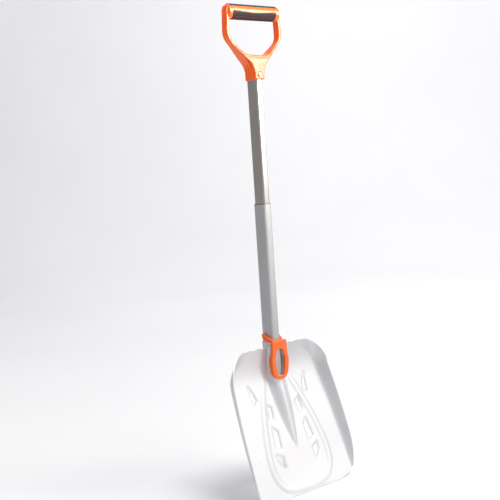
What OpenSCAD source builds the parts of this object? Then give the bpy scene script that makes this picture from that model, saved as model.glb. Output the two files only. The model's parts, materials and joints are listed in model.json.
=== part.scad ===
// Avalanche shovel: a stamped aluminium blade on a two-tube telescopic shaft with a moulded D-grip.
// +Z runs up the shaft to the grip, -Y is the open side of the blade and X is its width.
// The origin is the middle of the bounding box's bottom face, level with the blade's tip.
// Heights along the shaft are measured from the tip.

/* [Blade] */
// Half width of the flat floor at its widest
floor_half_w = 113.1; // [110:0.1:118]
// Length of the floor from heel to tip
floor_len = 250; // [240:1:260]
// Forward tilt of the floor against the shaft, in degrees
floor_tilt = 21.4; // [19:0.1:23]
// Sheet thickness
sheet_t = 1.8; // [1.5:0.1:2]
// Height of the rear wall above the floor
rear_wall_h = 27.5; // [26:0.5:32]
// Length of the raised rib that runs down the floor
ridge_len = 171; // [160:1:180]

/* [Shaft] */
// Height of the lower tube's bottom end
lower_tube_z = 168; // [165:1:172]
// Height of the lower tube's top end, where the upper tube comes out
lower_tube_top = 516; // [500:1:530]
// Height of the upper tube's bottom end
upper_tube_z = 440; // [430:1:450]
// Outer corner radius of the lower tube
lower_r = 5; // [4.8:0.1:5]
// Wall of both tubes
tube_wall = 1.4; // [1.2:0.1:1.4]

/* [Grip] */
// Height of the neck's bottom edge
neck_z = 735.8; // [730:0.1:745]
// Half width of the grip across the arms
grip_half_w = 63.4; // [60:0.1:66]
// Height of the crossbar's centre above the neck's bottom edge
bar_rise = 117.9; // [112:0.1:120]

/* [Travel] */
// Distance the shaft shortens
telescope_travel = 190; // [150:1:195]
// Inward travel of the two lock buttons
button_travel = 4.2; // [3.5:0.1:4.5]

/* [Hidden] */
$fn = 48;

// The shaft's axis stands behind the middle of the bounding box
shaft_y = 31.73;
gap = 0.3;
slack = 0.15;
cut = 1;
far = 60;

// Shaft section: a rounded trapezoid, narrower at the front. These are its corner centres
back_half = 7.8;
front_half = 4.2;
half_depth = 8;
arc_steps = 6;

// Corner radii of the nested sections, from the upper tube out to the collar
lower_bore_r = lower_r - tube_wall;
upper_r = lower_bore_r - gap;
upper_bore_r = upper_r - tube_wall;
sleeve_bore_r = lower_r + gap;
sleeve_wall = 1.5;
sleeve_r = sleeve_bore_r + sleeve_wall;
tunnel_bore_r = sleeve_r + 0.6;
tunnel_r = tunnel_bore_r + sheet_t;
collar_bore_r = tunnel_r + 0.9;
ring_r = 10.5;
ring_back = 7;

// Blade, in floor coordinates: u across, v down the floor from the heel, h out of the floor
heel_y = 14.3;
heel_v = 4;
corner_r = 35;
heel_taper = 14;
taper_len = 210;
side_slope = 2.5;
rear_slope = 1;
rear_drop = 8;
side_blend = 9;
rear_blend = 60;
wall_fall = 0.05;
nose_v = 165;
nose_len = 71;
tip_round = 16;
rim_wave = 1.1;
rim_wave_len = 21;
belly_h = 16;
ridge_half_w = 23;
ridge_blend = 3;
tunnel_blend = 12;
heel_z = floor_len * cos(floor_tilt) - (tunnel_blend / 4 - sheet_t) * sin(floor_tilt);
rows = 34;
cols = 44;

// Collar and sleeve
loop_z = 197;
loop_top = 268;
loop_front = -20.5;
loop_back = -10.5;
shoulder_back = -15;
shoulder_z = 243;
ring_z = 264.6;
ring_top = 281;
sleeve_z = 165;
sleeve_top = 266.2;
rivet_y = -5.9;
rivet_z = 229;

// Lock buttons
button_r = 4;
button_hole_r = 4.3;
button_flange_r = 5.2;
button_flange_t = 1;
button_proud = 2.6;
telescope_button_z = 486;
blade_button_z = 202;

// Grip
neck_r = 6.2;
neck_front_half = 10.6;
neck_half_depth = 14.2;
arm_half_depth = 7.2;
arm_w = 6.2;
recess_depth = 2.6;
bar_z = neck_z + bar_rise;
bar_half_h = 13.2;
bar_r = 12;
bar_half_len = 57;
opening_z = neck_z + 43.7;
rubber_t = 1.1;
screw_z = neck_z + 8.9;
screw_r = 2.5;
pad_count = 8;
pad_pitch = 11.6;

function unit(v) = v / norm(v);
function smooth_max(a, b, k) = max(a, b) + pow(max(k - abs(a - b), 0), 2) / (4 * k);
function mirrored(path) = concat(path, [for (i = [len(path) - 1 : -1 : 0]) [-path[i].x, path[i].y, path[i].z]]);

// The arc that rounds corner b of a path a, b, c
function corner_arc(a, b, c, r) =
    let (
        p = unit(a - b),
        q = unit(c - b),
        half = acos(p * q) / 2,
        centre = b + unit(p + q) * r / sin(half),
        from = b + p * r / tan(half) - centre,
        to = b + q * r / tan(half) - centre,
        start = atan2(from.y, from.x),
        turn = atan2(cross(from, to), from * to)
    )
    [for (i = [0 : arc_steps]) centre + r * [cos(start + turn * i / arc_steps), sin(start + turn * i / arc_steps)]];

// A closed outline from corners [x, y, radius]
function rounded(path) =
    let (n = len(path), at = function(i) [path[(i + n) % n].x, path[(i + n) % n].y])
    [for (i = [0 : n - 1]) each path[i].z > 0 ? corner_arc(at(i - 1), at(i), at(i + 1), path[i].z) : [at(i)]];

// Corners of the shaft section grown to corner radius r, one arc each
function section_corner(centre, from, to, r) =
    [for (i = [0 : arc_steps]) centre + r * [cos(from + (to - from) * i / arc_steps), sin(from + (to - from) * i / arc_steps)]];
draft = atan2(back_half - front_half, 2 * half_depth);
function section(r) = concat(
    section_corner([back_half, half_depth], -draft, 90, r),
    section_corner([-back_half, half_depth], 90, 180 + draft, r),
    section_corner([-front_half, -half_depth], 180 + draft, 270, r),
    section_corner([front_half, -half_depth], 270, 360 - draft, r)
);

module bar_of(r, z0, z1) {
    translate([0, 0, z0]) linear_extrude(z1 - z0) polygon(section(r));
}

module tube(r_out, r_in, z0, z1) {
    difference() {
        bar_of(r_out, z0, z1);
        bar_of(r_in, z0 - cut, z1 + cut);
    }
}

// Extrudes an X-Z outline from y0 to y1
module slab(y0, y1) {
    translate([0, y1, 0]) rotate([90, 0, 0]) linear_extrude(y1 - y0) children();
}

// A cylinder along Y
module y_rod(r, x, z, y0, y1) {
    translate([x, y0, z]) rotate([-90, 0, 0]) cylinder(r = r, h = y1 - y0);
}

module in_place() {
    translate([0, shaft_y, 0]) children();
}

// ---- Blade ----

function floor_half(v) = floor_half_w - heel_taper * pow(max(0, 1 - v / taper_len), 2);
function rim_h(v) =
    (rear_wall_h - wall_fall * max(0, v)) * sqrt(max(0, 1 - pow(max(0, v - nose_v) / nose_len, 2)));

// Offset of a floor point from the heel corner's centre, across and towards the rear
function corner_offset(u, v) = [abs(u) - floor_half(v) + corner_r, heel_v + corner_r - v];
function rear_share(q) = min(q.x, q.y) > 0 ? pow(q.y / norm(q), 2) : q.y > q.x ? 1 : 0;
function past_crease(q) = (min(q.x, q.y) > 0 ? norm(q) : max(q.x, q.y)) - corner_r;
function wall_slope(share) = side_slope + (rear_slope - side_slope) * share;
function wall_h(u, v) =
    let (q = corner_offset(u, v), share = rear_share(q))
    max(
        smooth_max(wall_slope(share) * past_crease(q), 0, side_blend + (rear_blend - side_blend) * share),
        smooth_max(rear_slope * (heel_v - v), 0, rear_blend)
    );

// Raised tunnel round the shaft: height of its front, less the drop of its flanks
tangent_x = front_half + tunnel_r * cos(draft);
function tunnel_drop(x) =
    x < front_half ? 0
    : x < tangent_x ? tunnel_r - sqrt(max(0, pow(tunnel_r, 2) - pow(x - front_half, 2)))
    : tunnel_r * (1 - sin(draft)) + (x - tangent_x) / tan(draft);
function tunnel_h(u, v) =
    (heel_y - v * sin(floor_tilt) + half_depth + tunnel_r - tunnel_drop(abs(u))) / cos(floor_tilt);

// Rib that carries the tunnel on down the floor and fades to a point
function ridge_h(u, v) =
    v >= ridge_len ? 0
    : let (s = max(v, 0) / ridge_len, half = ridge_half_w * (1 - pow(s, 3)), t = min(1, abs(u) / half))
    belly_h * (1 - pow(s, 2.5)) * pow(1 - t * t, 1.6);

function sheet_h(u, v) =
    smooth_max(smooth_max(tunnel_h(u, v), ridge_h(u, v), ridge_blend), wall_h(u, v), tunnel_blend);
function on_floor(u, v, h) = [
    u,
    heel_y - v * sin(floor_tilt) - h * cos(floor_tilt),
    heel_z - v * cos(floor_tilt) + h * sin(floor_tilt)
];
function sheet_point(p) = on_floor(p.x, p.y, sheet_h(p.x, p.y));
function sheet_normal(p) =
    let (e = 0.5)
    unit(cross(sheet_point(p + [e, 0]) - sheet_point(p - [e, 0]), sheet_point(p - [0, e]) - sheet_point(p + [0, e])));

// Outline of the sheet on the floor plane: rear edge, and side edge from the heel corner to the tip
function wave(u) = rim_wave * sin(360 * u / rim_wave_len) * max(0, 1 - pow(u / 90, 2));
function corner_point(angle) =
    let (
        share = pow(sin(angle), 2),
        rim = rim_h((heel_v + corner_r) * (1 - share)) - rear_drop * share,
        reach = corner_r + rim / wall_slope(share)
    )
    [floor_half(heel_v + corner_r) - corner_r + reach * cos(angle), heel_v + corner_r - reach * sin(angle)];
rear_v = corner_point(90).y;
rear_half = corner_point(90).x;
function rear_edge(s) =
    let (side = abs(2 * s - 1), p = side < 0.8 ? [rear_half * side / 0.8, rear_v] : corner_point(90 - 225 * (side - 0.8)))
    [sign(s - 0.5) * p.x, p.y + wave(p.x)];
function side_edge(t) =
    let (v0 = corner_point(0).y, v = v0 + (floor_len - tip_round - v0) * (t - 0.12) / 0.88)
    t < 0.12 ? corner_point(45 * (1 - t / 0.12)) : [floor_half(v) + rim_h(v) / side_slope, v];
function tip_edge(s) = [side_edge(1).x * (2 * s - 1), floor_len - tip_round * pow(abs(2 * s - 1), 8)];

// Grid on the sheet: the four edges blended inwards, with lines gathered at the walls and the tunnel
function across(i) = let (s = i / cols) 0.5 + 0.5 * sin(180 * (s - 0.5)) * (0.55 + 0.45 * pow(abs(2 * s - 1), 1.5));
function down(j) = let (t = j / rows) t * (0.45 + 0.55 * t);
function grid_point(s, t) =
    let (left = side_edge(t), right = side_edge(t), top = rear_edge(s), tip = tip_edge(s))
    (1 - t) * top + t * tip + (1 - s) * [-left.x, left.y] + s * right
    - (1 - s) * ((1 - t) * rear_edge(0) + t * tip_edge(0))
    - s * ((1 - t) * rear_edge(1) + t * tip_edge(1));

module sheet() {
    flat = [for (j = [0 : rows]) for (i = [0 : cols]) grid_point(across(i), down(j))];
    front = [for (p = flat) sheet_point(p)];
    back = [for (p = flat) sheet_point(p) - sheet_t * sheet_normal(p)];
    n = len(flat);
    w = cols + 1;
    at = function(i, j) j * w + i;
    quads = [for (j = [0 : rows - 1]) for (i = [0 : cols - 1]) [at(i, j), at(i + 1, j), at(i + 1, j + 1), at(i, j + 1)]];
    edge = concat(
        [for (i = [0 : cols - 1]) at(i, 0)],
        [for (j = [0 : rows - 1]) at(cols, j)],
        [for (i = [cols : -1 : 1]) at(i, rows)],
        [for (j = [rows : -1 : 1]) at(0, j)]
    );
    m = len(edge);
    polyhedron(
        concat(front, back),
        concat(
            [for (q = quads) each [[q[0], q[1], q[2]], [q[0], q[2], q[3]]]],
            [for (q = quads) each [[q[2] + n, q[1] + n, q[0] + n], [q[3] + n, q[2] + n, q[0] + n]]],
            [for (k = [0 : m - 1]) let (a = edge[k], b = edge[(k + 1) % m]) each [[a, a + n, b], [b, a + n, b + n]]]
        ),
        convexity = 10
    );
}

// Slots through the floor, as slanted four-sided outlines on the floor plane
slot_pairs = [
    [[69, 43], [61, 56], [57, 71], [65, 79]],
    [[38, 84], [29.5, 90], [32, 111], [40, 108]],
    [[41, 124], [31.5, 134], [34, 164], [46, 157]],
    [[50, 172], [36, 179], [37, 199], [48.5, 186]]
];

// Stands its children's outline on the floor plane and pushes it through the sheet
module through_floor() {
    translate([0, heel_y, heel_z]) rotate([90 - floor_tilt, 0, 0]) translate([0, 0, -10])
        linear_extrude(20) children();
}

module window_outline(extra) {
    polygon(rounded(mirrored([
        [6 + extra, 203.5 - extra, 5.5], [10 + extra, 217, 55], [11.8 + extra, 237, 34], [6 + extra, 253 + extra, 7]
    ])));
}

module blade() {
    color("gainsboro") in_place() difference() {
        sheet();
        for (outline = slot_pairs)
            for (side = [-1, 1])
                through_floor() polygon(rounded([for (p = outline) [side * p.x, -p.y, 1.5]]));
        slab(-far, 0) window_outline(-0.8);
        for (side = [-1, 1]) on_flank(side, tunnel_r) translate([0, 0, -4]) cylinder(r = 1.6, h = 8);
    }
}

// ---- Collar and sleeve ----

module collar_outline() {
    polygon(rounded(mirrored([
        [10, loop_z, 14], [18, loop_z + 11, 22], [21, 233, 34], [17.8, 245, 38], [17.4, loop_top, 3]
    ])));
}

// The ring's top and underside slope up from the front to the back
module ring() {
    intersection() {
        bar_of(ring_r, ring_z, ring_top);
        translate([-far, 0, 0]) rotate([90, 0, 90]) linear_extrude(2 * far) polygon([
            [-far, ring_z - cut], [-7, ring_z - cut], [2, ring_z + 2.6], [ring_back, ring_z + 8.6],
            [ring_back, ring_top], [-17, loop_top], [-far, loop_top]
        ]);
    }
}

module socket_collar() {
    color("orangered") in_place() difference() {
        union() {
            difference() {
                intersection() {
                    slab(loop_front, loop_back) collar_outline();
                    translate([-far, 0, 0]) rotate([90, 0, 90]) linear_extrude(2 * far) polygon([
                        [-far, 0], [loop_back, 0], [loop_back, shoulder_z - 7], [shoulder_back, shoulder_z + 7],
                        [shoulder_back, far + loop_top], [-far, far + loop_top]
                    ]);
                }
                bar_of(collar_bore_r, loop_z - cut, ring_z);
                slab(loop_front - cut, loop_back + cut) window_outline(0);
            }
            ring();
        }
        bar_of(sleeve_r + slack, ring_z - cut, sleeve_top + slack);
        bar_of(sleeve_bore_r, ring_z, ring_top + cut);
    }
}

// Turns its children to stand square on the tapered flank of the section with corner radius r
module on_flank(side, r) {
    y0 = rivet_y + half_depth;
    mirror([side < 0 ? 1 : 0, 0, 0]) translate([front_half, -half_depth, rivet_z]) rotate([0, 0, -draft])
        translate([r, y0 / cos(draft), 0]) rotate([0, 90, 0]) children();
}

module socket_sleeve() {
    color("silver") in_place() difference() {
        bar_of(sleeve_r, sleeve_z, sleeve_top);
        bar_of(sleeve_bore_r, sleeve_z + sleeve_wall, sleeve_top + cut);
        y_rod(button_hole_r, 0, blade_button_z, 0, far);
        for (side = [-1, 1]) on_flank(side, sleeve_r) translate([0, 0, -5]) cylinder(r = 1.6, h = 10);
    }
}

// Domed rivets through the blade's tunnel and the sleeve
module sleeve_rivets() {
    color("silver") in_place() for (side = [-1, 1]) {
        on_flank(side, tunnel_r + 0.65) cylinder(r1 = 2, r2 = 1.4, h = 1);
        on_flank(side, sleeve_bore_r + 0.1) cylinder(r = 1.5, h = tunnel_r - sleeve_bore_r + 0.75);
    }
}

// ---- Lower tube ----

module lower_tube() {
    color("lightgray") in_place() difference() {
        tube(lower_r, lower_bore_r, lower_tube_z, lower_tube_top);
        for (z = [telescope_button_z, telescope_button_z - telescope_travel, blade_button_z])
            y_rod(button_hole_r, 0, z, 0, far);
    }
}

module tube_bush() {
    color("dimgray") in_place() difference() {
        union() {
            bar_of(lower_r, lower_tube_top + 0.05, lower_tube_top + 0.95);
            bar_of(lower_bore_r - 0.02, lower_tube_top - 14, lower_tube_top + 0.05);
        }
        bar_of(upper_r + 0.08, lower_tube_top - 14 - cut, lower_tube_top + 0.95 + cut);
    }
}

module lower_plug() {
    color("dimgray") in_place() difference() {
        bar_of(lower_bore_r - 0.05, lower_tube_z + 0.5, lower_tube_z + 9);
        bar_of(0.6, lower_tube_z + 2, lower_tube_z + 9 + cut);
    }
}

// ---- Lock buttons: a flanged stud on a leaf spring bent to a V ----

module button(z, bore_r, outer_r) {
    outer = half_depth + outer_r + button_proud;
    base = half_depth + bore_r - button_flange_t - 0.1;
    y_rod(button_r, 0, z, base, outer - 1.2);
    translate([0, outer - 1.2, z]) rotate([-90, 0, 0]) cylinder(r1 = button_r, r2 = button_r - 1.2, h = 1.2);
    y_rod(button_flange_r, 0, z, base, base + button_flange_t);
}

module leaf_spring(z, bore_r) {
    base = half_depth + bore_r - button_flange_t - 0.2;
    front = -half_depth - bore_r + 0.4;
    bend = z - 22;
    t = 0.8;
    translate([-3.5, 0, 0]) rotate([90, 0, 90]) linear_extrude(7) polygon([
        [base, z + 5], [base - t, z + 5], [base - t, z - 4], [front + 2 + t, bend + 4], [front + t, bend + 6],
        [front + t, z + 3], [front, z + 3], [front, bend + 3], [front + 2.5, bend], [base, z - 5]
    ]);
}

module blade_button() {
    color("silver") in_place() button(blade_button_z, lower_bore_r, sleeve_r);
}

module blade_button_spring() {
    color("slategray") in_place() leaf_spring(blade_button_z, lower_bore_r);
}

module telescope_button() {
    color("silver") in_place() button(telescope_button_z, upper_bore_r, lower_r);
}

module telescope_button_spring() {
    color("slategray") in_place() leaf_spring(telescope_button_z, upper_bore_r);
}

// ---- Upper tube ----

module upper_tube() {
    color("gray") in_place() difference() {
        tube(upper_r, upper_bore_r, upper_tube_z, neck_z + 35);
        y_rod(button_hole_r, 0, telescope_button_z, 0, far);
        y_rod(screw_r + 0.1, 0, screw_z, -far, far);
    }
}

module upper_plug() {
    color("dimgray") in_place() difference() {
        union() {
            bar_of(upper_bore_r - 0.03, upper_tube_z - 0.05, upper_tube_z + 12);
            bar_of(lower_bore_r - 0.08, upper_tube_z - 3, upper_tube_z - 0.05);
        }
        translate([-4, -6, upper_tube_z - 3 - cut]) cube([8, 12, 20]);
    }
}

// ---- Grip ----

module grip_outline() {
    polygon(rounded(mirrored([
        [neck_front_half, neck_z + 2, 0], [neck_front_half, neck_z + 23, 34], [grip_half_w + 0.3, neck_z + 72.5, 26],
        [grip_half_w - 3, bar_z + bar_half_h, 12]
    ])));
}

module grip_front_view() {
    difference() {
        grip_outline();
        polygon(rounded(mirrored([
            [27, opening_z, 28], [grip_half_w - arm_w, neck_z + 72, 22], [grip_half_w - arm_w - 1, bar_z - bar_half_h + 1.5, 4]
        ])));
    }
}

// Depth of the grip along its height, as a Y-Z outline
module grip_side_view() {
    polygon(rounded([
        [neck_half_depth, neck_z, 1.5], [neck_half_depth, neck_z + 34, 18], [arm_half_depth, neck_z + 62, 18],
        [arm_half_depth, bar_z + bar_half_h, 5], [-arm_half_depth, bar_z + bar_half_h, 5],
        [-arm_half_depth, neck_z + 62, 18], [-neck_half_depth, neck_z + 34, 18], [-neck_half_depth, neck_z, 1.5]
    ]));
}

// The crossbar's section grown to radius r: an upright stadium
module bar_section(r) {
    for (side = [-1, 1]) translate([0, side * (bar_half_h - bar_r)]) circle(r = r);
    square([2 * r, 2 * (bar_half_h - bar_r)], center = true);
}

module crossbar(r, half_len) {
    translate([-half_len, 0, bar_z]) rotate([90, 0, 90]) linear_extrude(2 * half_len) bar_section(r);
}

module grip_frame() {
    color("orangered") in_place() difference() {
        union() {
            intersection() {
                slab(-neck_half_depth - 1, neck_half_depth + 1) grip_front_view();
                translate([-far - 10, 0, 0]) rotate([90, 0, 90]) linear_extrude(2 * far + 20) grip_side_view();
            }
            intersection() {
                crossbar(bar_r - 0.2, bar_half_len);
                slab(-far, far) grip_outline();
            }
            bar_of(neck_r, neck_z, neck_z + 31);
        }
        bar_of(upper_r + 0.1, neck_z - cut, neck_z + 35.2);
        y_rod(screw_r + 0.1, 0, screw_z, -far, far);
        y_rod(4.5, 0, screw_z, -far, -neck_half_depth + 1.2);
        y_rod(4.9, 0, screw_z, neck_half_depth - 1.2, far);
        rubber_pocket(0.05);
        for (side = [0, 1]) mirror([side, 0, 0]) outer_recess();
    }
}

// Hollow in the outer face of an arm, beside the crossbar's end
module outer_recess() {
    translate([grip_half_w - recess_depth, 0, 0]) rotate([90, 0, 90]) linear_extrude(far) polygon(rounded([
        [-4.6, bar_z - 13, 3], [4.6, bar_z - 13, 3], [4.6, bar_z + 7, 3], [-4.6, bar_z + 7, 3]
    ]));
}

// Where the rubber lies on the crossbar: over the top and back, and round the front and underside
module top_wedge(extra) {
    slab_x = 53.5 + extra;
    translate([-slab_x, 0, bar_z]) rotate([90, 0, 90]) linear_extrude(2 * slab_x)
        polygon([[-9 - extra, 8 - extra], [-9 - extra, far], [far, far], [far, 2 - extra], [10, 2 - extra]]);
}

module front_wedge(extra) {
    slab(-far, far) polygon(rounded(mirrored([
        [47.5 + extra, bar_z - 18, 0], [50.5 + extra, bar_z + 1 + extra, 3], [6, bar_z - 2.2 + extra, 20]
    ])));
}

module rubber_shell(r_in, r_out) {
    difference() {
        crossbar(r_out, 55);
        crossbar(r_in, 56);
    }
}

module rubber_pocket(extra) {
    intersection() {
        rubber_shell(bar_r - rubber_t - extra, bar_r + 4);
        union() {
            top_wedge(extra);
            intersection() {
                front_wedge(extra);
                translate([-far, -far, 0]) cube([2 * far, far + 8 + extra, 2000]);
            }
        }
    }
}

module grip_rubber_top() {
    color("black") in_place() intersection() {
        rubber_shell(bar_r - rubber_t, bar_r + 0.3);
        top_wedge(0);
    }
}

module grip_rubber_front() {
    color("black") in_place() intersection() {
        rubber_shell(bar_r - rubber_t, bar_r + 0.3);
        front_wedge(0);
        translate([-far, -far, 0]) cube([2 * far, far + 8, 2000]);
    }
}

// A row of plain lozenges on the front rubber
module grip_pads() {
    color("darkred") in_place() intersection() {
        rubber_shell(bar_r + 0.32, bar_r + 0.8);
        translate([0, 0, bar_z - 2.4]) rotate([40, 0, 0]) slab(-far, 0)
            for (k = [0 : pad_count - 1]) translate([(k - (pad_count - 1) / 2) * pad_pitch, 0])
                polygon([[-4, 0], [0, -2.2], [4, 0], [0, 2.2]]);
    }
}

module neck_washer() {
    color("silver") in_place() difference() {
        y_rod(4.3, 0, screw_z, -neck_half_depth + 0.2, -neck_half_depth + 1.15);
        y_rod(screw_r + 0.1, 0, screw_z, -far, 0);
    }
}

// A pan-head screw with a hexagonal socket, seated on the washer
module neck_screw() {
    color("silver") in_place() translate([0, -neck_half_depth + 0.15, screw_z]) rotate([-90, 0, 0]) difference() {
        union() {
            cylinder(r = screw_r, h = 2 * neck_half_depth + 0.5);
            translate([0, 0, -1.6]) cylinder(r1 = 2.9, r2 = 3.4, h = 1.6);
        }
        translate([0, 0, -1.6 - cut]) cylinder(r = 1.6, h = 1 + cut, $fn = 6);
    }
}

module neck_nut() {
    color("silver") in_place() difference() {
        translate([0, neck_half_depth - 1.15, screw_z]) rotate([-90, 0, 0]) cylinder(r = 4.6, h = 3, $fn = 6);
        y_rod(screw_r + 0.05, 0, screw_z, 0, far);
    }
}

blade();
socket_collar();
socket_sleeve();
sleeve_rivets();
lower_tube();
tube_bush();
lower_plug();
blade_button();
blade_button_spring();
upper_tube();
upper_plug();
telescope_button();
telescope_button_spring();
grip_frame();
grip_rubber_top();
grip_rubber_front();
grip_pads();
neck_screw();
neck_washer();
neck_nut();
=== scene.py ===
import json
import math

import bmesh
import bpy
import numpy as np
from mathutils import Matrix, Vector


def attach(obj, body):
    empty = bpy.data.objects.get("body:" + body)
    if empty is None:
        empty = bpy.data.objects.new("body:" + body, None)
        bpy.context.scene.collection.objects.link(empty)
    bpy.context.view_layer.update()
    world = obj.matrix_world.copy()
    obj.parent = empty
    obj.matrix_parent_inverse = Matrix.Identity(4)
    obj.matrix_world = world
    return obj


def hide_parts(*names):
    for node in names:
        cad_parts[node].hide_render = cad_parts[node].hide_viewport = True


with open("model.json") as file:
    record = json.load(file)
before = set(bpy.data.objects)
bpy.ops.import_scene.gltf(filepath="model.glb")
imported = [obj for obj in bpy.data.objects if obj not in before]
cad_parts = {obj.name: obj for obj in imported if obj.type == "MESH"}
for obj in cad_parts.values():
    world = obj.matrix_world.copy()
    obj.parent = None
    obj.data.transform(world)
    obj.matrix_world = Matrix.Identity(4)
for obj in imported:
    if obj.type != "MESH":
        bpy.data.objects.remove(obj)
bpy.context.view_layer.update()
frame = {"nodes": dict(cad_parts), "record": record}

NODES = frame["nodes"]
MM = 0.001

# ---- Camera ----

camera = bpy.data.objects.new("camera", bpy.data.cameras.new("camera"))
bpy.context.scene.collection.objects.link(camera)
bpy.context.scene.camera = camera


def look_from(position, yaw, pitch, roll):
    """Matrix of a camera that looks along +Y when all three angles, in degrees, are 0."""
    a, p, t = math.radians(yaw), math.radians(pitch), math.radians(roll)
    ahead = Vector((-math.sin(a) * math.cos(p), math.cos(a) * math.cos(p), math.sin(p)))
    right = ahead.cross(Vector((0, 0, 1))).normalized()
    up = right.cross(ahead)
    right, up = right * math.cos(t) + up * math.sin(t), up * math.cos(t) - right * math.sin(t)
    turn = Matrix((right, up, -ahead)).transposed().to_4x4()
    return Matrix.Translation(position) @ turn


SHAFT_Y = 31.73
camera.matrix_world = look_from((-1.0666, -1.2323 + SHAFT_Y * MM, 0.6008), -39.85, -5.825, -3.80)
camera.data.sensor_width = 36
camera.data.lens = 65.159
camera.data.clip_start, camera.data.clip_end = 0.05, 60

# ---- Materials ----


class Shader:
    """A node tree with short calls for the noise, ramp and bump that every finish here is made of."""

    def __init__(self, name):
        self.mat = bpy.data.materials.new(name)
        self.mat.use_nodes = True
        self.tree = self.mat.node_tree
        self.bsdf = self.tree.nodes["Principled BSDF"]
        self.coords = self.tree.nodes.new("ShaderNodeTexCoord").outputs["Object"]

    def add(self, kind, **props):
        made = self.tree.nodes.new(kind)
        for key, value in props.items():
            setattr(made, key, value)
        return made

    def link(self, source, target):
        self.tree.links.new(source, target)

    def stretched(self, scale):
        node = self.add("ShaderNodeMapping")
        node.inputs["Scale"].default_value = scale
        self.link(self.coords, node.inputs["Vector"])
        return node.outputs["Vector"]

    def noise(self, scale, detail=4, stretch=(1, 1, 1), rough=0.5):
        node = self.add("ShaderNodeTexNoise")
        node.inputs["Scale"].default_value = scale
        node.inputs["Detail"].default_value = detail
        node.inputs["Roughness"].default_value = rough
        self.link(self.stretched(stretch), node.inputs["Vector"])
        return node.outputs["Fac"]

    def ramp(self, source, stops):
        node = self.add("ShaderNodeValToRGB")
        elements = node.color_ramp.elements
        while len(elements) < len(stops):
            elements.new(0.5)
        for element, (place, colour) in zip(elements, stops):
            element.position, element.color = place, (*colour, 1)
        self.link(source, node.inputs["Fac"])
        return node.outputs["Color"]

    def range(self, source, low, high, start=0.0, end=1.0):
        node = self.add("ShaderNodeMapRange")
        for key, value in zip(("From Min", "From Max", "To Min", "To Max"), (start, end, low, high)):
            node.inputs[key].default_value = value
        self.link(source, node.inputs["Value"])
        return node.outputs["Result"]

    def mix(self, share, a, b):
        """Colours a and b, each a tuple or a socket, mixed by a socket."""
        node = self.add("ShaderNodeMix", data_type="RGBA")
        self.link(share, node.inputs["Factor"])
        for key, value in ((6, a), (7, b)):
            if isinstance(value, tuple):
                node.inputs[key].default_value = (*value, 1)
            else:
                self.link(value, node.inputs[key])
        return node.outputs[2]

    def math(self, operation, a, b):
        node = self.add("ShaderNodeMath", operation=operation)
        for key, value in ((0, a), (1, b)):
            if isinstance(value, (int, float)):
                node.inputs[key].default_value = value
            else:
                self.link(value, node.inputs[key])
        return node.outputs[0]

    def bump(self, source, distance, strength=1.0, under=None):
        node = self.add("ShaderNodeBump")
        node.inputs["Strength"].default_value = strength
        node.inputs["Distance"].default_value = distance
        self.link(source, node.inputs["Height"])
        if under is not None:
            self.link(under, node.inputs["Normal"])
        return node.outputs["Normal"]

    def finish(self, colour, rough, normal=None, **constants):
        self.link(colour, self.bsdf.inputs["Base Color"])
        self.link(rough, self.bsdf.inputs["Roughness"])
        if normal is not None:
            self.link(normal, self.bsdf.inputs["Normal"])
        for key, value in constants.items():
            self.bsdf.inputs[key.replace("_", " ")].default_value = value
        return self.mat


def grey(value, blue=0.0):
    return (value, value, value + blue)


def sheet_metal():
    s = Shader("blade_aluminium")
    cloud = s.noise(9, 3)
    fine = s.noise(420, 5, (1, 1, 0.12), 0.65)
    scuff = s.noise(60, 8, (1, 0.3, 0.3), 0.7)
    colour = s.mix(s.range(cloud, 0, 1, 0.3, 0.7), grey(0.66, 0.015), grey(0.72, 0.015))
    worn = s.ramp(scuff, [(0.62, (0, 0, 0)), (0.75, (1, 1, 1))])
    colour = s.mix(worn, colour, grey(0.61, 0.01))
    rough = s.math("ADD", s.range(fine, 0.50, 0.62), s.range(worn, 0.0, -0.06))
    normal = s.bump(fine, 0.00006, 0.35, s.bump(cloud, 0.0006, 0.25))
    return s.finish(colour, rough, normal, Metallic=0.6, Specular_IOR_Level=0.5)


def tube_metal(name, low, high, rough_low, rough_high, grain, warm=0.0):
    s = Shader(name)
    lines = s.noise(900, 3, (1, 1, 0.015), 0.6)
    cloud = s.noise(14, 4, (1, 1, 0.4))
    scratch = s.noise(260, 6, (1, 1, 0.06), 0.75)
    worn = s.ramp(scratch, [(0.66, (0, 0, 0)), (0.74, (1, 1, 1))])
    tinted = lambda v: (v * (1 + warm), v, v * (1.02 - warm))
    colour = s.mix(s.range(cloud, 0, 1, 0.3, 0.7), tinted(low), tinted(high))
    colour = s.mix(worn, colour, tinted(high * 0.86))
    rough = s.math("ADD", s.range(lines, rough_low, rough_high), s.range(worn, 0.0, 0.07))
    normal = s.bump(lines, 0.00004, grain)
    return s.finish(colour, rough, normal, Metallic=1.0)


def moulded_orange():
    s = Shader("orange_plastic")
    cloud = s.noise(28, 4)
    grain = s.noise(1500, 2)
    rub = s.noise(120, 7, rough=0.7)
    colour = s.mix(s.range(cloud, 0, 1, 0.3, 0.7), (0.86, 0.105, 0.005), (0.92, 0.14, 0.008))
    colour = s.mix(s.ramp(rub, [(0.6, (0, 0, 0)), (0.78, (0.6, 0.6, 0.6))]), colour, (0.94, 0.22, 0.035))
    rough = s.range(s.math("ADD", grain, cloud), 0.27, 0.36, 0.6, 1.4)
    normal = s.bump(grain, 0.00008, 0.4, s.bump(cloud, 0.0004, 0.15))
    return s.finish(colour, rough, normal, Specular_IOR_Level=0.6)


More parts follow.
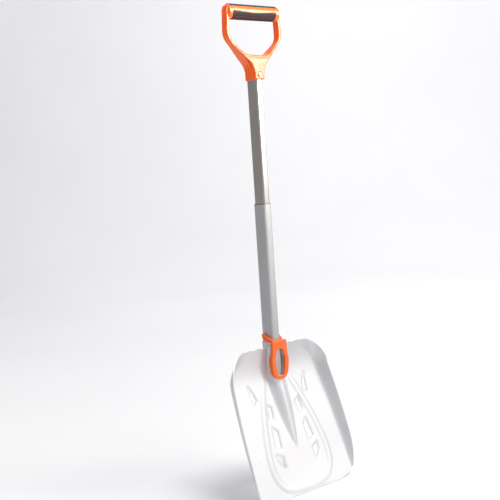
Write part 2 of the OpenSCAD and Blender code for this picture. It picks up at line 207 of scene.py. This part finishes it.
def rubber(name, dark, light):
    s = Shader(name)
    cloud = s.noise(40, 4)
    grain = s.noise(2200, 3)
    dust = s.noise(300, 8, rough=0.75)
    colour = s.mix(s.range(cloud, 0, 1, 0.3, 0.7), dark, light)
    dusted = tuple(min(1.0, c * 1.7 + 0.01) for c in light)
    colour = s.mix(s.ramp(dust, [(0.56, (0, 0, 0)), (0.75, (1, 1, 1))]), colour, dusted)
    rough = s.range(grain, 0.55, 0.72, 0.3, 0.7)
    normal = s.bump(grain, 0.0001, 0.5)
    return s.finish(colour, rough, normal, Specular_IOR_Level=0.4)


def plain_plastic(name, dark, light):
    s = Shader(name)
    cloud = s.noise(60, 4)
    grain = s.noise(1800, 2)
    colour = s.mix(s.range(cloud, 0, 1, 0.3, 0.7), dark, light)
    return s.finish(colour, s.range(grain, 0.42, 0.55), s.bump(grain, 0.00006, 0.4))


def turned_steel(name, low, high):
    s = Shader(name)
    cloud = s.noise(220, 4)
    lines = s.noise(2600, 3, (1, 0.05, 1))
    colour = s.mix(s.range(cloud, 0, 1, 0.3, 0.7), grey(low), grey(high, 0.01))
    return s.finish(colour, s.range(lines, 0.28, 0.42), s.bump(lines, 0.00003, 0.4), Metallic=1.0)


MATS = {
    "blade_aluminium": sheet_metal(),
    "orange_plastic": moulded_orange(),
    "sleeve_aluminium": tube_metal("sleeve_aluminium", 0.50, 0.56, 0.34, 0.46, 0.4),
    "tube_satin": tube_metal("tube_satin", 0.50, 0.56, 0.58, 0.66, 0.3),
    "tube_polished": tube_metal("tube_polished", 0.54, 0.60, 0.20, 0.30, 0.3, 0.07),
    "dark_plastic": plain_plastic("dark_plastic", grey(0.11), grey(0.14)),
    "hardware_steel": turned_steel("hardware_steel", 0.17, 0.22),
    "spring_steel": turned_steel("spring_steel", 0.30, 0.38),
    "black_rubber": rubber("black_rubber", (0.013, 0.010, 0.014), (0.021, 0.017, 0.023)),
    "red_rubber": rubber("red_rubber", (0.12, 0.003, 0.008), (0.17, 0.005, 0.012)),
}
SLOT_OF = {s["node"]: s["material_slot"] for s in frame["record"]["subparts"]}
for node_name, node in NODES.items():
    node.data.materials.clear()
    node.data.materials.append(MATS[SLOT_OF[node_name]])

# ---- Mesh helpers. Shapes are written in mm about the shaft's axis, then placed ----


def smooth_by_angle(mesh, degrees):
    mesh.polygons.foreach_set("use_smooth", [True] * len(mesh.polygons))
    mesh.set_sharp_from_angle(angle=math.radians(degrees))


def new_object(name, verts, faces):
    mesh = bpy.data.meshes.new(name)
    placed = np.asarray(verts, float) * MM + (0, SHAFT_Y * MM, 0)
    mesh.from_pydata(placed.tolist(), [], faces)
    mesh.validate()
    obj = bpy.data.objects.new(name, mesh)
    bpy.context.scene.collection.objects.link(obj)
    return obj


def copy_of(node, name):
    """The CAD node's shape as a new closed mesh."""
    work = bmesh.new()
    work.from_mesh(node.data)
    work.transform(node.matrix_world)
    bmesh.ops.remove_doubles(work, verts=work.verts, dist=1e-6)
    mesh = bpy.data.meshes.new(name)
    work.to_mesh(mesh)
    work.free()
    obj = bpy.data.objects.new(name, mesh)
    bpy.context.scene.collection.objects.link(obj)
    return obj


def applied(obj):
    """Makes the object's modifiers part of its mesh."""
    depsgraph = bpy.context.evaluated_depsgraph_get()
    mesh = bpy.data.meshes.new_from_object(obj.evaluated_get(depsgraph), depsgraph=depsgraph)
    obj.modifiers.clear()
    obj.data = mesh
    return obj


def combine(obj, others, operation="DIFFERENCE"):
    for other in others:
        step = obj.modifiers.new("cut", "BOOLEAN")
        step.operation, step.object, step.solver = operation, other, "MANIFOLD"
    applied(obj)
    for other in others:
        bpy.data.objects.remove(other)
    return obj


def moulded(obj, voxel, rounds):
    """Turns a sharp solid into one with evenly rounded edges, as a moulding has."""
    step = obj.modifiers.new("voxels", "REMESH")
    step.mode, step.voxel_size, step.adaptivity = "VOXEL", voxel * MM, 0
    step = obj.modifiers.new("round", "SMOOTH")
    step.factor, step.iterations = 0.5, rounds
    return applied(obj)


def dress(obj, body, slot, *nodes, angle=60):
    obj.data.materials.clear()
    obj.data.materials.append(MATS[slot])
    smooth_by_angle(obj.data, angle)
    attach(obj, body)
    if nodes:
        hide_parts(*nodes)
    return obj


def rings_to_mesh(name, rings):
    """A solid from rings of equal length, each a closed loop."""
    n = len(rings[0])
    verts = [p for ring in rings for p in ring]
    faces = []
    for j in range(len(rings) - 1):
        for i in range(n):
            a, b = j * n + i, j * n + (i + 1) % n
            faces.append((a, b, b + n, a + n))
    faces.append(tuple(reversed(range(n))))
    faces.append(tuple(range((len(rings) - 1) * n, len(rings) * n)))
    return new_object(name, verts, faces)


def circle(k, sides):
    angle = 2 * math.pi * k / sides
    return math.cos(angle), math.sin(angle)


def swept(name, path, radii, sides=12):
    """A round bar along a path, with a radius at each point."""
    path = [Vector(p) for p in path]
    rings = []
    for i, point in enumerate(path):
        along = (path[min(i + 1, len(path) - 1)] - path[max(i - 1, 0)]).normalized()
        side = along.cross(Vector((0, 1, 0))).normalized()
        up = side.cross(along)
        turns = [circle(k, sides) for k in range(sides)]
        rings.append([point + float(radii[i]) * (side * c + up * s) for c, s in turns])
    return rings_to_mesh(name, rings)


def rod_y(name, radius, z, y0, y1, sides=48):
    """A round bar along Y that crosses the shaft's axis."""
    turns = [circle(k, sides) for k in range(sides)]
    return rings_to_mesh(name, [[(radius * c, y, z - radius * s) for c, s in turns] for y in (y0, y1)])


# ---- Shaft tubes ----

BACK_HALF, FRONT_HALF, HALF_DEPTH = 7.8, 4.2, 8.0
DRAFT = math.atan2(BACK_HALF - FRONT_HALF, 2 * HALF_DEPTH)


def section(r, steps=14):
    """The shaft's rounded trapezoid with corner radius r, anticlockwise from the right back corner."""
    corners = [
        ((BACK_HALF, HALF_DEPTH), -DRAFT, math.pi / 2),
        ((-BACK_HALF, HALF_DEPTH), math.pi / 2, math.pi + DRAFT),
        ((-FRONT_HALF, -HALF_DEPTH), math.pi + DRAFT, 1.5 * math.pi),
        ((FRONT_HALF, -HALF_DEPTH), 1.5 * math.pi, 2 * math.pi - DRAFT),
    ]
    points = []
    for (x, y), start, end in corners:
        for k in range(steps + 1):
            angle = start + (end - start) * k / steps
            points.append((x + r * math.cos(angle), y + r * math.sin(angle)))
    return points


def tube(name, r_out, r_in, z0, z1, hole_zs, chamfer=0.35):
    """A tube on the shaft's section, with chamfered ends and lock holes in its back."""
    profile = [
        (r_in + chamfer, z0), (r_out - chamfer, z0), (r_out, z0 + chamfer), (r_out, z1 - chamfer),
        (r_out - chamfer, z1), (r_in + chamfer, z1), (r_in, z1 - chamfer), (r_in, z0 + chamfer),
    ]
    n = len(section(1))
    verts, faces = [], []
    for r, z in profile:
        verts += [(x, y, z) for x, y in section(r)]
    for j in range(len(profile)):
        for i in range(n):
            a, b = j * n + i, j * n + (i + 1) % n
            c, d = (j + 1) % len(profile) * n + (i + 1) % n, (j + 1) % len(profile) * n + i
            faces.append((a, b, c, d))
    obj = new_object(name, verts, faces)
    holes = [rod_y("hole", LOCK_HOLE_R, z, 0, 60) for z in hole_zs]
    return combine(obj, holes)


LOWER_R, LOWER_BORE, UPPER_R, UPPER_BORE = 5.0, 3.6, 3.3, 1.9
LOWER_END, LOWER_TOP, UPPER_END, NECK_Z, NECK_SOCKET = 168, 516, 440, 735.8, 35
LOCK_HOLE_R, LONG_HOLE, SHORT_HOLE, BLADE_HOLE = 4.3, 486, 296, 202
lower = tube("lower_tube_skin", LOWER_R, LOWER_BORE, LOWER_END, LOWER_TOP, (LONG_HOLE, SHORT_HOLE, BLADE_HOLE))
dress(lower, "lower_shaft", "tube_satin", "lower_tube", angle=24)
upper = tube("upper_tube_skin", UPPER_R, UPPER_BORE, UPPER_END, NECK_Z + NECK_SOCKET, (LONG_HOLE,))
dress(upper, "handle", "tube_polished", "upper_tube", angle=24)

# ---- Blade: one sheet over floor coordinates u across, v down the floor from the heel, h out of it ----

FLOOR_HALF, FLOOR_LEN, TILT, SHEET_T = 113.1, 250.0, math.radians(21.4), 1.8
REAR_WALL, RIDGE_LEN = 27.5, 171.0
HEEL_Y, HEEL_V, CORNER_R, HEEL_TAPER, TAPER_LEN = 14.3, 4.0, 35.0, 14.0, 210.0
SIDE_SLOPE, REAR_SLOPE, SIDE_BLEND, REAR_BLEND, REAR_DROP, WALL_FALL = 2.5, 1.0, 9.0, 60.0, 8.0, 0.05
NOSE_V, NOSE_LEN, TIP_ROUND, SCALLOP_H, SCALLOP_LEN = 165.0, 71.0, 16.0, 1.6, 66
WAVE_H, WAVE_LEN, WAVE_REACH = 1.1, 21.0, 90
CORNER_T, STRAIGHT_S = 0.12, 0.8  # shares of the side and rear edges where the heel corner's arc begins
BEAD_HALF, BEAD_FLAT, BEAD_H = 9.0, 1.5, 1.45
LIP_W, LIP_H = 4.2, 1.1
BELLY_H, RIDGE_HALF, RIDGE_BLEND, TUNNEL_BLEND = 16.0, 23.0, 3.0, 12.0
TUNNEL_R = 5.0 + 0.3 + 1.5 + 0.6 + SHEET_T
HEEL_Z = FLOOR_LEN * math.cos(TILT) - (TUNNEL_BLEND / 4 - SHEET_T) * math.sin(TILT)
TANGENT_X = FRONT_HALF + TUNNEL_R * math.cos(DRAFT)
SLOTS = [
    [(69, 43), (61, 56), (57, 71), (65, 79)],
    [(38, 84), (29.5, 90), (32, 111), (40, 108)],
    [(41, 124), (31.5, 134), (34, 164), (46, 157)],
    [(50, 172), (36, 179), (37, 199), (48.5, 186)],
]
BEAD = [
    (27, 14), (33, 42), (42, 68), (52, 100), (60, 130), (66.5, 165),
    (68, 192), (64, 213), (54, 228), (38, 236.5), (19, 239.5), (0, 240),
]


def smooth_max(a, b, k):
    return np.maximum(a, b) + np.maximum(k - np.abs(a - b), 0) ** 2 / (4 * k)


def smooth_step(x, start, end):
    t = np.clip((x - start) / (end - start), 0, 1)
    return t * t * (3 - 2 * t)


def floor_half(v):
    return FLOOR_HALF - HEEL_TAPER * np.maximum(0, 1 - v / TAPER_LEN) ** 2


def rim_h(v):
    nose = np.maximum(0, v - NOSE_V) / NOSE_LEN
    return (REAR_WALL - WALL_FALL * np.maximum(0, v)) * np.sqrt(np.maximum(0, 1 - nose ** 2))


def between(side, rear, share):
    """From the side wall's value to the rear wall's, round the heel corner."""
    return side + (rear - side) * share


def wall_h(u, v):
    x, y = np.abs(u) - floor_half(v) + CORNER_R, HEEL_V + CORNER_R - v
    both = np.minimum(x, y) > 0
    reach = np.hypot(x, y)
    rear = np.where(both, (y / np.maximum(reach, 1e-9)) ** 2, (y > x) * 1.0)
    past = np.where(both, reach, np.maximum(x, y)) - CORNER_R
    blend = between(SIDE_BLEND, REAR_BLEND, rear)
    corner = smooth_max(between(SIDE_SLOPE, REAR_SLOPE, rear) * past, 0.0 * u, blend)
    return np.maximum(corner, smooth_max(REAR_SLOPE * (HEEL_V - v), 0.0 * u, REAR_BLEND))


def tunnel_h(u, v):
    x = np.abs(u)
    arc = TUNNEL_R - np.sqrt(np.maximum(0, TUNNEL_R ** 2 - (x - FRONT_HALF) ** 2))
    flank = TUNNEL_R * (1 - math.sin(DRAFT)) + (x - TANGENT_X) / math.tan(DRAFT)
    drop = np.where(x < FRONT_HALF, 0, np.where(x < TANGENT_X, arc, flank))
    return (HEEL_Y - v * math.sin(TILT) + HALF_DEPTH + TUNNEL_R - drop) / math.cos(TILT)


def ridge_h(u, v):
    s = np.clip(v / RIDGE_LEN, 0, 1)
    half = np.maximum(RIDGE_HALF * (1 - s ** 3), 1e-6)
    t = np.minimum(1, np.abs(u) / half)
    return BELLY_H * (1 - s ** 2.5) * (1 - t * t) ** 1.6


def curve_through(points, steps=12):
    """Catmull-Rom curve through 2-D points."""
    p = np.array([points[0], *points, points[-1]], float)
    out = []
    for a, b, c, d in zip(p, p[1:], p[2:], p[3:]):
        for t in np.arange(steps) / steps:
            square, cube = 2 * a - 5 * b + 4 * c - d, 3 * b - a - 3 * c + d
            out.append(0.5 * (2 * b + (c - a) * t + square * t * t + cube * t ** 3))
    return np.array([*out, p[-2]])


BEAD_LINE = curve_through(BEAD)


def distance_to(u, v, line, closed=False):
    """Distance of points from a polyline, and the share of the line's length where the nearest point lies."""
    ends = np.roll(line, -1, 0) if closed else line[1:]
    starts = line if closed else line[:-1]
    best, where = np.full(u.shape, 1e9), np.zeros(u.shape)
    for i, (a, b) in enumerate(zip(starts, ends)):
        d = b - a
        t = np.clip(((u - a[0]) * d[0] + (v - a[1]) * d[1]) / (d @ d), 0, 1)
        gap = np.hypot(u - a[0] - t * d[0], v - a[1] - t * d[1])
        near = gap < best
        best, where = np.where(near, gap, best), np.where(near, (i + t) / len(starts), where)
    return best, where


def bead_h(u, v):
    """The U-shaped embossing: a raised flat band with soft shoulders, which fades in at the heel."""
    gap, where = distance_to(np.abs(u), v, BEAD_LINE)
    rise = smooth_step(where, 0.0, 0.16)
    return BEAD_H * rise * (1 - smooth_step(gap, BEAD_FLAT, BEAD_HALF))


def lip_h(u, v):
    """The floor is pressed in a little round each slot."""
    total = np.zeros(u.shape)
    for corners in SLOTS:
        gap, _ = distance_to(np.abs(u), v, np.array(corners, float), closed=True)
        total -= LIP_H * (1 - smooth_step(gap, 0.0, LIP_W))
    return total


def sheet_h(u, v):
    body = smooth_max(tunnel_h(u, v), ridge_h(u, v), RIDGE_BLEND)
    return smooth_max(body, wall_h(u, v), TUNNEL_BLEND) + bead_h(u, v) + lip_h(u, v)


def on_floor(u, v, h):
    s, c = math.sin(TILT), math.cos(TILT)
    return np.stack([u, HEEL_Y - v * s - h * c, HEEL_Z - v * c + h * s], -1)


def corner_point(angle):
    share = np.sin(angle) ** 2
    rim = rim_h((HEEL_V + CORNER_R) * (1 - share)) - REAR_DROP * share
    reach = CORNER_R + rim / between(SIDE_SLOPE, REAR_SLOPE, share)
    centre = floor_half(HEEL_V + CORNER_R) - CORNER_R
    return np.stack([centre + reach * np.cos(angle), HEEL_V + CORNER_R - reach * np.sin(angle)], -1)


def side_edge(t):
    """The side edge from the middle of the heel corner to the tip."""
    corner = corner_point(np.radians(45 * (1 - np.minimum(t, CORNER_T) / CORNER_T)))
    v0 = corner_point(np.float64(0))[1]
    v = v0 + (FLOOR_LEN - TIP_ROUND - v0) * (np.maximum(t, CORNER_T) - CORNER_T) / (1 - CORNER_T)
    wall = np.stack([floor_half(v) + rim_h(v) / SIDE_SLOPE, v], -1)
    return np.where((t < CORNER_T)[..., None], corner, wall)


def rear_edge(s):
    """The wavy rear edge between the middles of both heel corners."""
    side = np.abs(2 * s - 1)
    top = corner_point(np.float64(math.pi / 2))
    straight = np.stack([top[0] * side / STRAIGHT_S, np.full(side.shape, top[1])], -1)
    bent = corner_point(np.radians(90 - 45 * np.maximum(0, side - STRAIGHT_S) / (1 - STRAIGHT_S)))
    p = np.where((side < STRAIGHT_S)[..., None], straight, bent)
    u = np.sign(s - 0.5) * p[..., 0]
    fade = np.maximum(0, 1 - (p[..., 0] / WAVE_REACH) ** 2)
    wave = WAVE_H * np.sin(2 * math.pi * p[..., 0] / WAVE_LEN) * fade
    return np.stack([u, p[..., 1] + wave], -1)


def tip_edge(s):
    """The cutting edge: rounded at its corners, with shallow scallops."""
    side = 2 * s - 1
    u = side * side_edge(np.float64(1.0))[0]
    scallop = SCALLOP_H * (np.abs(np.cos(math.pi * u / SCALLOP_LEN)) ** 0.7 - 1) * (1 - side ** 8)
    return np.stack([u, FLOOR_LEN - TIP_ROUND * side ** 8 + scallop], -1)


def sheet_grid(cols, rows):
    """Points on the floor plane: the sheet's four edges blended inwards."""
    s = np.linspace(0, 1, cols + 1)[None, :]
    s = 0.5 + 0.5 * np.sin(math.pi * (s - 0.5)) * (0.72 + 0.28 * np.abs(2 * s - 1) ** 1.5)
    t = np.linspace(0, 1, rows + 1)[:, None]
    t = t * (0.6 + 0.4 * t)
    t, s = np.broadcast_arrays(t, s)
    side = side_edge(t)
    left, right = side * (-1, 1), side
    corner = lambda edge, share: edge(np.full(s.shape, float(share)))
    S, T = s[..., None], t[..., None]
    return ((1 - T) * rear_edge(s) + T * tip_edge(s) + (1 - S) * left + S * right
            - (1 - S) * ((1 - T) * corner(rear_edge, 0) + T * corner(tip_edge, 0))
            - S * ((1 - T) * corner(rear_edge, 1) + T * corner(tip_edge, 1)))


def sheet_mesh(name, cols, rows):
    """The whole sheet: its open side, its back one thickness behind, and the rim between them."""
    flat = sheet_grid(cols, rows)
    u, v = flat[..., 0], flat[..., 1]
    at = lambda du, dv: on_floor(u + du, v + dv, sheet_h(u + du, v + dv))
    e = 0.4
    normal = np.cross(at(e, 0) - at(-e, 0), at(0, -e) - at(0, e))
    normal /= np.linalg.norm(normal, axis=-1, keepdims=True)
    front = at(0, 0)
    back = front - SHEET_T * normal
    n, w = (rows + 1) * (cols + 1), cols + 1
    index = np.arange(n).reshape(rows + 1, w)
    quads = np.stack([index[:-1, :-1], index[:-1, 1:], index[1:, 1:], index[1:, :-1]], -1).reshape(-1, 4)
    edge = [*index[0, :-1], *index[:-1, -1], *index[-1, :0:-1], *index[:0:-1, 0]]
    following = edge[1:] + edge[:1]
    rim = [(a, a + n, b + n, b) for a, b in zip(edge, following)]
    faces = quads.tolist() + (quads[:, ::-1] + n).tolist() + [tuple(int(x) for x in f) for f in rim]
    return new_object(name, np.concatenate([front.reshape(-1, 3), back.reshape(-1, 3)]), faces)


def rounded_outline(corners, radius, steps=6):
    """A closed outline with an arc of the radius at each corner."""
    out = []
    n = len(corners)
    for i in range(n):
        a, b, c = (Vector(corners[(i + k) % n]) for k in (-1, 0, 1))
        p, q = (a - b).normalized(), (c - b).normalized()
        half = p.angle(q) / 2
        centre = b + (p + q).normalized() * radius / math.sin(half)
        start, end = b + p * radius / math.tan(half) - centre, b + q * radius / math.tan(half) - centre
        turn = math.atan2(start.cross(end), start.dot(end))
        first = math.atan2(start.y, start.x)
        out += [centre + radius * Vector((math.cos(first + turn * k / steps), math.sin(first + turn * k / steps)))
                for k in range(steps + 1)]
    return out


def through_floor(outline, low=-12, high=14):
    """A prism that pushes a floor outline through the sheet."""
    u, v = np.array([p.x for p in outline]), np.array([p.y for p in outline])
    rings = [on_floor(u, v, np.full(u.shape, float(h))).tolist() for h in (low, high)]
    return rings_to_mesh("cutter", rings)


def outward(obj):
    """Makes every face of a closed mesh point outwards."""
    work = bmesh.new()
    work.from_mesh(obj.data)
    bmesh.ops.recalc_face_normals(work, faces=work.faces)
    work.to_mesh(obj.data)
    work.free()
    return obj


def mirrored(points):
    return [*points, *[(-x, z) for x, z in reversed(points)]]


def prism_y(outline, y0, y1, name="cutter"):
    """A prism along Y from an X-Z outline."""
    return outward(rings_to_mesh(name, [[(x, y, z) for x, z in outline] for y in (y0, y1)]))


WINDOW, WINDOW_LEDGE = [(6, 203.5), (10, 217), (11.8, 237), (6, 253)], 0.8
SLOT_CORNER_R = 1.6

blade = outward(sheet_mesh("blade_sheet", *(((260, 220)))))
cutters = [
    outward(through_floor(rounded_outline([(side * x, y) for x, y in corners], SLOT_CORNER_R)))
    for corners in SLOTS for side in (-1, 1)
]
inner_window = [(x - WINDOW_LEDGE, z) for x, z in WINDOW]
cutters.append(prism_y(mirrored(inner_window), -60, 0))
combine(blade, cutters)
dress(blade, "blade_unit", "blade_aluminium", "blade", angle=38)

# ---- Socket collar ----

collar = moulded(copy_of(NODES["socket_collar"], "collar_moulding"), 0.55, 14)
dress(collar, "blade_unit", "orange_plastic", "socket_collar", angle=80)

# ---- Grip ----

BAR_Z, BAR_R, BAR_HALF_H = NECK_Z + 117.9, 12.0, 13.2


def stadium(r, steps=24):
    """The crossbar's upright section with corner radius r, as (y, z) points."""
    points = []
    for lift, first in ((BAR_HALF_H - BAR_R, 0), (BAR_R - BAR_HALF_H, math.pi)):
        for k in range(steps + 1):
            angle = first + math.pi * k / steps
            points.append((r * math.cos(angle), BAR_Z + lift + r * math.sin(angle)))
    return points


def bar_shell(r_in, r_out, half_len):
    """A closed sleeve round the crossbar."""
    rings = [[(x, y, z) for y, z in stadium(r)] for x, r in
             ((-half_len, r_in), (-half_len, r_out), (half_len, r_out), (half_len, r_in))]
    n = len(rings[0])
    faces = [(j * n + i, j * n + (i + 1) % n, (j + 1) % 4 * n + (i + 1) % n, (j + 1) % 4 * n + i)
             for j in range(4) for i in range(n)]
    return outward(new_object("shell", [p for ring in rings for p in ring], faces))


FRONT_GROOVE = [(11.7, 11), (11.7, 17), (12.7, 21.6), (15.7, 26.6), (21.2, 31.8), (27.6, 37.8), (34.4, 44.4)]
BACK_GROOVE = [(13.6, 13), (13.6, 18), (14.1, 22.7), (16.4, 26.6), (21.4, 31.6)]
HOLLOW = [(-4.6, BAR_Z - 13), (3.4, BAR_Z - 13), (3.4, BAR_Z + 8), (-4.6, BAR_Z + 8)]
HOLLOW_X = (58.2, 70)


def groove(points, side, y, size, sink):
    """A cutter along the neck's flank, which tapers at its ends and sinks into the flare above the tube."""
    line = curve_through(points, 6)
    share = np.linspace(0, 1, len(line))
    radii = size * np.clip(np.minimum(share / 0.15, (1 - share) / 0.35), 0.3, 1) ** 0.5
    sunk = sink * smooth_step(line[:, 1], 18, 29) * smooth_step(-share, -1, -0.6)
    path = [(side * (x - 0.68 * d), y - 1.5 * s, NECK_Z + z + 0.73 * d) for (x, z), s, d in zip(line, share, sunk)]
    return outward(swept("groove", path, radii))


grip = copy_of(NODES["grip_frame"], "grip_moulding")
grooves = []
for side in (-1, 1):
    grooves += [groove(FRONT_GROOVE, side, y, size, sink)
                for y, size, sink in ((-7.2, 2.3, 0), (-7.4, 2.1, 2), (-7.6, 2.0, 4), (-7.8, 1.9, 6))]
    grooves.append(groove(BACK_GROOVE, side, 1.4, 2.6, 0))
for side in (-1, 1):
    rings = [[(side * x, p.x, p.y) for p in rounded_outline(HOLLOW, 3)] for x in HOLLOW_X]
    grooves.append(outward(rings_to_mesh("hollow", rings)))
combine(grip, grooves)
moulded(grip, 0.5, 16)
dress(grip, "handle", "orange_plastic", "grip_frame", angle=80)

band = copy_of(NODES["grip_rubber_front"], "front_rubber")
PANEL, PANEL_DEPTH = [(44.5, BAR_Z - 9.4), (46.5, BAR_Z - 3.4)], 0.35
panel = bar_shell(BAR_R - PANEL_DEPTH, BAR_R + 3, 60)
combine(panel, [prism_y(mirrored(PANEL), -60, 0)], "INTERSECT")
combine(band, [panel])
dress(moulded(band, 0.4, 2), "handle", "black_rubber", "grip_rubber_front", angle=80)
cap = moulded(copy_of(NODES["grip_rubber_top"], "top_rubber"), 0.4, 3)
dress(cap, "handle", "black_rubber", "grip_rubber_top", angle=80)

# ---- Stage and light ----


def stage_material():
    s = Shader("stage")
    colour = s.mix(s.range(s.noise(1.2, 2), 0, 1, 0.3, 0.7), grey(0.75, 0.006), grey(0.79, 0.006))
    return s.finish(colour, s.range(s.noise(3, 2), 0.8, 0.9), Specular_IOR_Level=0.2,
                    Emission_Color=(1.0, 0.995, 1.0, 1), Emission_Strength=0.16)


def cyclorama(width=14.0, front=-8.0, depth=4.2, height=6.0, bend=1.6, steps=24):
    """A floor just under the object that curves up into a wall behind it, square to the camera."""
    arc = [circle(k, 4 * steps) for k in range(1, steps + 1)]
    profile = [(front, 0.0), (depth - bend, 0.0)]
    profile += [(depth - bend + bend * s, bend - bend * c) for c, s in arc]
    profile.append((depth, height))
    turn = Matrix.Rotation(math.radians(-40), 3, "Z")
    verts = [turn @ Vector((x, y, z - 0.0004)) for y, z in profile for x in (-width / 2, width / 2)]
    faces = [(2 * k, 2 * k + 1, 2 * k + 3, 2 * k + 2) for k in range(len(profile) - 1)]
    mesh = bpy.data.meshes.new("backdrop")
    mesh.from_pydata(verts, [], faces)
    obj = bpy.data.objects.new("backdrop", mesh)
    bpy.context.scene.collection.objects.link(obj)
    mesh.materials.append(stage_material())
    smooth_by_angle(mesh, 60)
    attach(obj, "blade_unit")  # so the floor stays level with the blade's tip at every pose


def softbox(name, position, aim, size, power, colour=(1, 1, 1), spread=180):
    light = bpy.data.lights.new(name, "AREA")
    light.shape, light.size, light.size_y = "RECTANGLE", *size
    light.energy, light.color, light.spread = power, colour, math.radians(spread)
    obj = bpy.data.objects.new(name, light)
    bpy.context.scene.collection.objects.link(obj)
    obj.location = position
    obj.rotation_mode = "QUATERNION"
    obj.rotation_quaternion = (Vector(aim) - Vector(position)).to_track_quat("-Z", "Y")


def flag(name, position, aim, size, level):
    """A grey card that only shows in reflections, as a studio's dark side does."""
    mesh = bpy.data.meshes.new(name)
    w, h = size[0] / 2, size[1] / 2
    mesh.from_pydata([(-w, -h, 0), (w, -h, 0), (w, h, 0), (-w, h, 0)], [], [(0, 1, 2, 3)])
    obj = bpy.data.objects.new(name, mesh)
    bpy.context.scene.collection.objects.link(obj)
    obj.location = position
    obj.rotation_mode = "QUATERNION"
    obj.rotation_quaternion = (Vector(aim) - Vector(position)).to_track_quat("Z", "Y")
    obj.visible_camera = obj.visible_shadow = obj.visible_diffuse = False
    s = Shader(name)
    mesh.materials.append(s.finish(s.mix(s.noise(2), grey(level), grey(level * 1.1)), s.range(s.noise(3), 0.9, 1.0)))


cyclorama()
softbox("key", (1.5, -2.0, 1.15), (0, 0, 0.7), (0.9, 1.1), 21, (1, 0.96, 0.9))
softbox("grip", (0.5, -0.75, 1.05), (0, 0, 0.84), (0.4, 0.4), 1.4, (1, 0.95, 0.86), 50)
softbox("side", (-0.75, -0.35, 1.2), (0, 0, 0.84), (0.35, 0.35), 0.2, (1, 0.95, 0.86), 45)
softbox("high", (0.5, -1.2, 3.1), (0, 0, 0.2), (1.5, 1.5), 81)
softbox("wall", (1.7, 0.7, 2.6), (3.8, 2.4, 1.3), (1.2, 1.2), 30)
flag("dark_side", (-1.9, 0.9, 1.15), (0, 0, 1.15), (2.6, 1.8), 0.25)
flag("dark_floor", (0.42, -0.15, 0.03), (0.42, -0.15, 1), (0.55, 0.8), 0.15)

world = bpy.data.worlds.new("world")
bpy.context.scene.world = world
world.use_nodes = True
world.node_tree.nodes["Background"].inputs["Color"].default_value = (0.93, 0.93, 0.97, 1)
world.node_tree.nodes["Background"].inputs["Strength"].default_value = 0.42

bpy.context.scene.view_settings.view_transform = "Standard"
